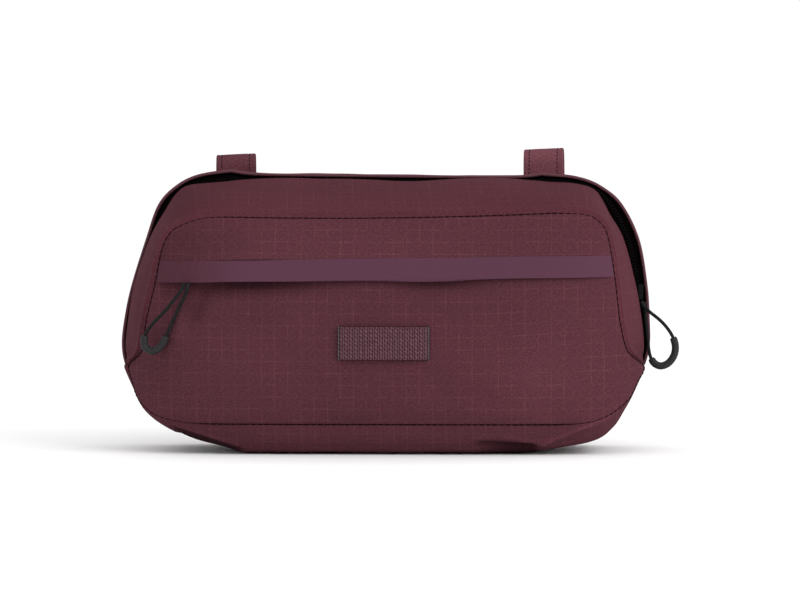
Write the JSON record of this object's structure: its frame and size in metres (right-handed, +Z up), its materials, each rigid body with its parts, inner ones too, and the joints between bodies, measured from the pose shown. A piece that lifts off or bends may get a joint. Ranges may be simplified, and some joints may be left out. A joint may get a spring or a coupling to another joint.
{
  "type": "bicycle handlebar bag",
  "caption": "Zipped ripstop bag that hangs on a bicycle handlebar by webbing loops, with a flap pocket and a webbing tab on its front.",
  "frame": {"origin": "on the ground below the middle of the bag and its handlebar loops", "axes": "+X to the right seen from the front, +Y towards the handlebar behind the back panel, +Z up"},
  "size_m": [0.2802, 0.1279, 0.151],
  "materials": {
    "ripstop": "burgundy ripstop cloth, matt, with a fine raised grid",
    "bonded_tape": "smooth bonded band, plum, slightly glossier than the cloth",
    "zip_black": "black woven zip tape and coil",
    "slider_black": "black, satin",
    "webbing": "ribbed burgundy webbing",
    "pull_cord": "dark grey braided cord",
    "pull_rubber": "dark grey, matt"
  },
  "bodies": {
    "root": {"front_upper": "ripstop", "flap_tape": "bonded_tape", "pocket_panel": "ripstop", "pocket_zip": "zip_black", "pocket_slider": "slider_black", "front_gusset": "ripstop", "rear_gusset": "ripstop", "bottom_panel": "ripstop", "back_panel": "ripstop", "main_zip": "zip_black", "main_slider": "slider_black", "webbing_tab": "webbing", "strap_left": "webbing", "strap_right": "webbing", "pocket_pull_cord": "pull_cord", "pocket_pull_end": "pull_rubber", "main_pull_cord": "pull_cord", "main_pull_end": "pull_rubber"}
  },
  "joints": []
}
